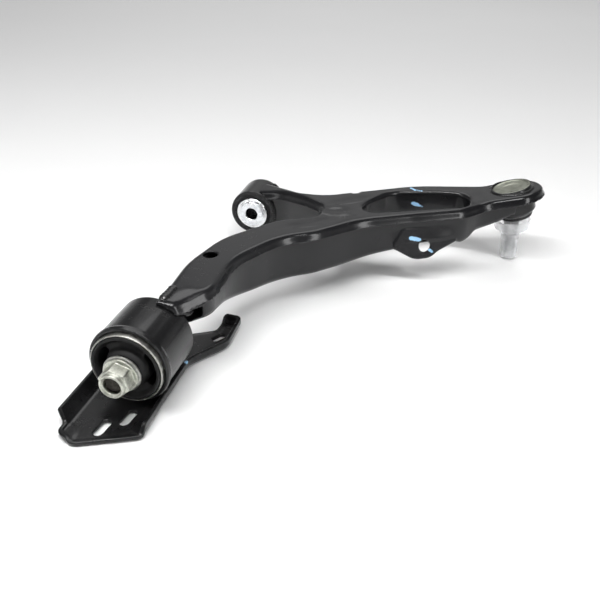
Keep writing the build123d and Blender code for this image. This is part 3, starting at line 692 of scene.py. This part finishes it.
# ---------------------------------------------------------------- rear bush
turned("rear_bush_housing",
       [(34, -364.0, 0.4), (34.8, -366.2, 0.8), (37.6, -366.0, 1.4), (38.3, -362.2, 1.6), (37.0, -358.6, 2.0),
        (37.0, -309.2, 0.8), (36.2, -308, 0.6), (34, -308, 0.4)],
       ORIGIN, Y, "arm", "coat", TUBE_COAT, ["rear_housing"], sides=160)
turned("rear_bush_can",
       [(32, -369.2, 0.3), (32.9, -371, 0.3), (33.5, -371, 0.3), (34, -370.3, 0.3), (34, -307, 0.3),
        (32, -307, 0.3)],
       ORIGIN, Y, "arm", "steel", CAN_STEEL, ["rear_outer_sleeve"], sides=160)


def rear_rubber_shape(x, y, z):
    """Rubber ring with dished ends and two kidney-shaped voids."""
    r = np.hypot(x, z)
    fold = np.abs(np.arctan2(z, x))
    fold = np.minimum(fold, np.pi - fold)
    body = round_max(r - 32.0, 13.3 - r, 0.5)
    dish = step(r, 15, 21) - step(r, 25, 31.5)
    near = -(y + 373.6 - 7.0 * dish - 2.2 * step(r, 29, 32))
    far = y + 309.0 + 4.0 * dish
    body = round_max(round_max(body, near, 0.9), far, 0.9)
    off = np.maximum(fold - math.radians(34), 0) * 24
    void = np.hypot(np.abs(r - 24), off) - 3.5
    return round_max(body, -void, 0.9)


verts, faces = carve(rear_rubber_shape, (-34, -377, -34), (34, -305, 34), cell(1.1, 2.0))
mesh_object("rear_bush_rubber", verts, faces, "arm", RUBBER, ["rear_rubber"])
turned("rear_bush_pin", [(8.25, -376.6, 0.3), (13, -376.6, 0.6), (13, -304, 0.6), (8.25, -304, 0.3)],
       ORIGIN, Y, "rear_mount", "steel", STEEL, ["rear_inner_sleeve"])
turned("rear_bush_washer",
       [(8.25, -379.6, 0.2), (16.6, -379.6, 0.7), (17.8, -378.4, 0.6), (17.8, -376.7, 0.4),
        (8.25, -376.7, 0.2)],
       ORIGIN, Y, "rear_mount", "steel", CAN_STEEL, ["rear_washer"])


def hexagon(x, z, flat, turn):
    """Six-sided bar along Y, flat from centre to side, with its corners rounded."""
    sides = []
    for k in range(3):
        a = math.radians(60 * k + turn)
        sides.append(np.abs(x * math.cos(a) + z * math.sin(a)) - flat)
    return round_max(round_max(sides[0], sides[1], 0.8), sides[2], 0.8)


def nut_shape(x, y, z):
    """Flanged hexagon nut with a crimped collar."""
    r = np.hypot(x, z)
    hexa = round_max(hexagon(x, z, 12.5, 12), -(y + 394.0), 0.6)
    hexa = np.maximum(hexa, y + 379.65)
    hexa = round_max(hexa, r * 0.8 - (y + 399.5) * 0.6 - 10.2, 0.5)
    collar = round_max(round_max(r - 11.6 - 0.02 * (y + 394), -(y + 398.4), 1.1), y + 381, 0.1)
    flange = round_max(r - 16.4, np.abs(y + 380.7) - 1.05, 0.8)
    solid = round_min(round_min(hexa, collar, 0.7), flange, 1.0)
    bore = r - 8.05 - 1.6 * step(-(y + 396.4), 0, 2.0)
    return round_max(solid, -bore, 0.3)


verts, faces = carve(nut_shape, (-19, -401, -19), (19, -377, 19), cell(0.45, 0.9))
mesh_object("rear_nut_collared", verts, faces, "rear_mount", NUT_PLATE, ["rear_nut"])


def bolt_shape(x, y, z):
    """Flanged hexagon bolt, threaded at the nut's end."""
    r = np.hypot(x, z)
    angle = np.arctan2(z, x) / (2 * np.pi)
    turnings = np.abs((y / 1.5 - angle) % 1.0 - 0.5)
    thread = 0.65 * turnings * step(-y, 374, 377)
    shank = round_max(r - 8.0 + thread, -(y + 393.9), 1.2)
    shank = np.maximum(shank, y + 299)
    head = round_max(hexagon(x, z, 12.0, 0), y + 289.0, 0.8)
    head = round_max(head, r * 0.8 + (y + 289.0) * 0.6 - 10.1, 0.6)
    head = np.maximum(head, -(y + 300.0))
    flange = round_max(r - 16.0, np.abs(y + 298.75) - 1.25, 0.8)
    return np.minimum(shank, round_min(head, flange, 1.0))


verts, faces = carve(bolt_shape, (-18, -397, -18), (18, -286, 18), cell(0.55, 1.1))
mesh_object("rear_pivot_bolt", verts, faces, "rear_mount", BOLT_PLATE, ["rear_bolt"])

# ---------------------------------------------------------------- ball joint
H_AXIS, S_AXIS = lean_axis(HOUSING_TILT), lean_axis(STUD_TILT)
turned("ball_joint_housing",
       [(18.5, -7, 0.3), (12.8, -7, 0.3), (12.8, -10, 0.5), (15, -16.5, 0.6), (17.5, -16.5, 0.8),
        (17.8, -13, 1.2), (22.6, -13, 1.4), (24, -11, 1.2), (24, 15.6, 1.6), (23.1, 18.3, 0.8),
        (21.9, 18.7, 0.3), (21.9, 18.0, 0.2), (22.5, 17.2, 0.2), (22.5, 15, 0.2), (18.5, 15, 0.3)],
       BALL, H_AXIS, "arm", "coat", TUBE_COAT, ["ball_housing"], sides=144)
turned("ball_joint_cover",
       [(0, 14.9, 0), (22.4, 14.9, 0.3), (22.4, 17.1, 0.3), (21.6, 18.2, 0.5), (20.2, 18.5, 0.8),
        (18.6, 17.6, 0.9), (12.0, 17.3, 2.0), (9.4, 16.7, 1.5), (0, 16.6, 0)],
       BALL, H_AXIS, "arm", "cover_plating", COVER_PLATE, ["ball_cover"], sides=144, closed=False)


def stud_path():
    """Stud profile from the top of the ball to the thread's end."""
    path = [(13.5 * math.sin(a), 13.5 * math.cos(a)) for a in np.linspace(0, math.pi - 0.50, 40)]
    path += [(6.5, -13.0), (6.5, -23.2), (6.9, -23.8), (8.6, -24.0), (9.0, -24.4), (9.0, -25.6), (8.7, -26.0)]
    path += [(8.8 - 1.5 * t, -26.2 - 21.8 * t) for t in np.linspace(0, 1, 14)]
    path += [(6.3, -48.4), (5.6, -48.9), (5.6, -50.0)]
    path += [(6.0, -50.2 - k * 0.14) for k in range(132)]
    path += [(5.6, -68.9), (4.6, -69.9), (0, -70.0)]
    return path


def stud_thread(h, angle):
    """Depth of the thread at the stud's lower end, with a pitch of 1.25."""
    cut = np.abs((h / 1.25 - angle / (2 * np.pi)) % 1.0 - 0.5)
    return -1.3 * cut * step(-h, 50.0, 51.5) * step(h, -68.8, -67.8)


turned("ball_joint_stud", None, BALL, S_AXIS, "stud", "stud_steel", STUD_STEEL, ["ball_stud"],
       dense=stud_path(), closed=False, wave=stud_thread, sides=72)


def boot_part(name, first, last):
    """Part of the bellows boot, from first to last of its length, its axis leaning from the housing's tilt to
    the stud's.
    """
    outer = [(19.2, -13.6), (19.5, -15.0), (19.3, -16.6), (20.0, -17.4), (19.9, -18.6), (18.0, -19.4),
             (16.4, -19.8), (15.9, -20.4), (15.0, -21.2), (12.4, -21.6), (10.0, -21.8), (8.6, -22.3),
             (8.3, -23.0), (8.5, -23.8)]
    inner = [(r - 1.2, h + (0.9 if i > 5 else 0.4)) for i, (r, h) in enumerate(outer)]
    inner[-1], inner[-2] = (6.9, -23.8), (6.9, -22.6)
    path = outer[first:last + 1] + inner[first:last + 1][::-1]
    verts, faces = lathe(None, ORIGIN, (0, 0, 1), dense=path, sides=96)
    tilt = np.radians(HOUSING_TILT + (STUD_TILT - HOUSING_TILT) * step(-verts[:, 2], 16.0, 22.0))
    x = verts[:, 0] * np.cos(tilt) - verts[:, 2] * np.sin(tilt)
    z = verts[:, 0] * np.sin(tilt) + verts[:, 2] * np.cos(tilt)
    verts = np.stack([x, verts[:, 1], z], 1) + BALL
    mesh = bpy.data.meshes.new(name)
    mesh.from_pydata((verts * MM).tolist(), [], faces.tolist())
    piece = bpy.data.objects.new(name, mesh)
    bpy.context.scene.collection.objects.link(piece)
    mesh.materials.append(BOOT_RUBBER)
    tidy(piece)
    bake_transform(piece)
    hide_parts("dust_boot")
    return piece


boot_part("dust_boot_upper", 0, 7)
boot_part("dust_boot_lower", 7, 13)

turned("stud_transit_cap",
       [(22.0, -22.5, 0.5), (21.6, -26.5, 2.0), (19.7, -34.5, 2.2), (10.9, -40.5, 2.0), (10.4, -72.2, 2.0),
        (8.0, -73.0, 1.0), (0, -73.0, 0), (0, -71.6, 0), (8.0, -71.6, 0.8), (9.1, -70.6, 1.0),
        (9.5, -39.6, 1.4), (18.2, -33.6, 1.6), (20.2, -26.5, 2.0), (20.6, -22.5, 0.5)],
       BALL, S_AXIS, "cap", "cap_plastic", CAP, ["transit_cap"], sides=128)

# ---------------------------------------------------------------- weld beads
angles = np.radians(np.linspace(-26, 58, 150))
out = np.stack([np.cos(angles), 0 * angles, np.sin(angles)], 1)
for name, y, lean in (("near", -21.2, -0.7), ("far", 18.4, 0.7)):
    bead(f"front_weld_{name}", out * 29.0 + np.array([0, y, 0]), out * 0.7 + np.array([0, lean, 0]), 2.3,
         "arm", WELD_COAT, ["front_weld"])
ys = np.linspace(-289, -317, 150)
line = np.stack([12.5 + 0.06 * (ys + 317), ys, 39.4 + 0.01 * (ys + 317)], 1)
bead("rear_weld_bead", line, np.repeat(np.array([[0.12, 0, 0.99]]), 150, 0), 3.7, "arm", WELD_COAT,
     ["rear_weld"], pitch=4.2)


def housing_ring():
    """Line where the ball joint housing meets the top skin."""
    side, up = unit(np.cross(H_AXIS, Y)), np.array(Y, float)
    line, out = [], []
    for a in np.linspace(0, 2 * np.pi, 260):
        d = math.cos(a) * side + math.sin(a) * up
        p = BALL + d * 24.2
        h = 0.0
        for _ in range(20):
            q = p + H_AXIS * h
            h += float(skin_height(q[0], q[1]) - q[2]) * 0.8
        line.append(p + H_AXIS * h)
        out.append(unit(d * 0.6 + H_AXIS * 0.8))
    return line, out


line, out = housing_ring()
bead("housing_weld_ring", line, out, 1.9, "arm", WELD_COAT, ["housing_weld"])
xs = np.linspace(-25, 17, 120)
for name, y, lean in (("near", -304.8, -0.7), ("far", -299.2, 0.7)):
    line = np.stack([xs, 0 * xs + y, 0 * xs - 40.6], 1)
    bead(f"ear_weld_{name}", line, np.repeat(np.array([[0, lean, 0.7]]), 120, 0), 2.1, "rear_mount",
         WELD_COAT, ["ear_weld"])

# ---------------------------------------------------------------- CAD nodes that stay
KEPT = {"bracket_ear": EAR_COAT, "front_outer_sleeve": TUBE_COAT, "bearing_seat": SEAT,
        "boot_upper_ring": SPRING, "boot_lower_ring": SPRING}
for name, material in KEPT.items():
    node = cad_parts[name]
    for place in node.material_slots:
        place.material = material
    if not node.material_slots:
        node.data.materials.append(material)

# ---------------------------------------------------------------- paint marks (start, end, half width)
mark_field(upper, [((192.5, 10.5, 40), (197, 6.5, 39), 1.9), ((197, 6.5, 39), (205.5, 7, 38.5), 1.3),
                   ((197, 2.5, 24), (203, 3, 22), 2.3), ((203, 3, 22), (209.5, 4, 19.5), 1.7)])
mark_field(bracket, [((24.6, -303.1, -34.2), (24.8, -303, -34.2), 2.2)])
mark_field(lower, [((205, -70, 11.5), (214, -66, 9), 2.4), ((224, -63.5, -1.5), (229.5, -62, -6.5), 1.5)])

# ---------------------------------------------------------------- floor and light
floor_mesh = bpy.data.meshes.new("floor")
FLOOR_Z, REACH = -0.0458, 6
floor_mesh.from_pydata([(x * REACH, y * REACH, FLOOR_Z) for x, y in ((-1, -1), (1, -1), (1, 1), (-1, 1))],
                       [], [(0, 1, 2, 3)])
floor = bpy.data.objects.new("floor", floor_mesh)
bpy.context.scene.collection.objects.link(floor)
pale = Nodes("floor_paper")
floor_mesh.materials.append(pale.finish(
    pale.mix(pale.noise(3, 2), (0.86, 0.86, 0.86), (0.88, 0.88, 0.88)), 0.8, Specular_IOR_Level=0.1))


def softbox(name, place, aim, size, power):
    """Soft rectangular light of a size in metres and a power in watts, aimed at a point."""
    light = bpy.data.lights.new(name, "AREA")
    light.shape = "RECTANGLE"
    light.size, light.size_y = size
    light.energy = power
    lamp = bpy.data.objects.new(name, light)
    bpy.context.scene.collection.objects.link(lamp)
    lamp.location = place
    lamp.rotation_mode = "QUATERNION"
    lamp.rotation_quaternion = (Vector(aim) - Vector(place)).to_track_quat("-Z", "Y")


softbox("strip", (0.1, -0.62, 1.25), (0.14, -0.12, 0), (1.5, 0.13), 21)
softbox("high_back", (-0.6, 2.6, 4.4), (-0.3, 1.6, 0), (4.0, 3.0), 100)
softbox("back", (0.1, 2.2, 1.3), (0.12, -0.1, 0), (2.6, 1.0), 4)
softbox("right_front", (1.3, -0.7, 0.55), (0.10, -0.2, 0), (0.25, 0.8), 5)
softbox("left_front", (-1.2, -0.9, 0.8), (0.1, -0.2, 0), (0.3, 0.8), 3)
world = bpy.data.worlds.new("studio")
bpy.context.scene.world = world
world.use_nodes = True
sky = world.node_tree
sky.nodes["Background"].inputs["Color"].default_value = (1, 1, 1, 1)
direction, parts, fade = (sky.nodes.new(kind) for kind in (
    "ShaderNodeTexCoord", "ShaderNodeSeparateXYZ", "ShaderNodeMapRange"))
for key, number in (("From Min", 0.02), ("From Max", 0.30), ("To Min", 0.75), ("To Max", 0.12)):
    fade.inputs[key].default_value = number
sky.links.new(direction.outputs["Generated"], parts.inputs[0])
sky.links.new(parts.outputs["Z"], fade.inputs["Value"])
sky.links.new(fade.outputs["Result"], sky.nodes["Background"].inputs["Strength"])
bpy.context.scene.view_settings.view_transform = "Standard"
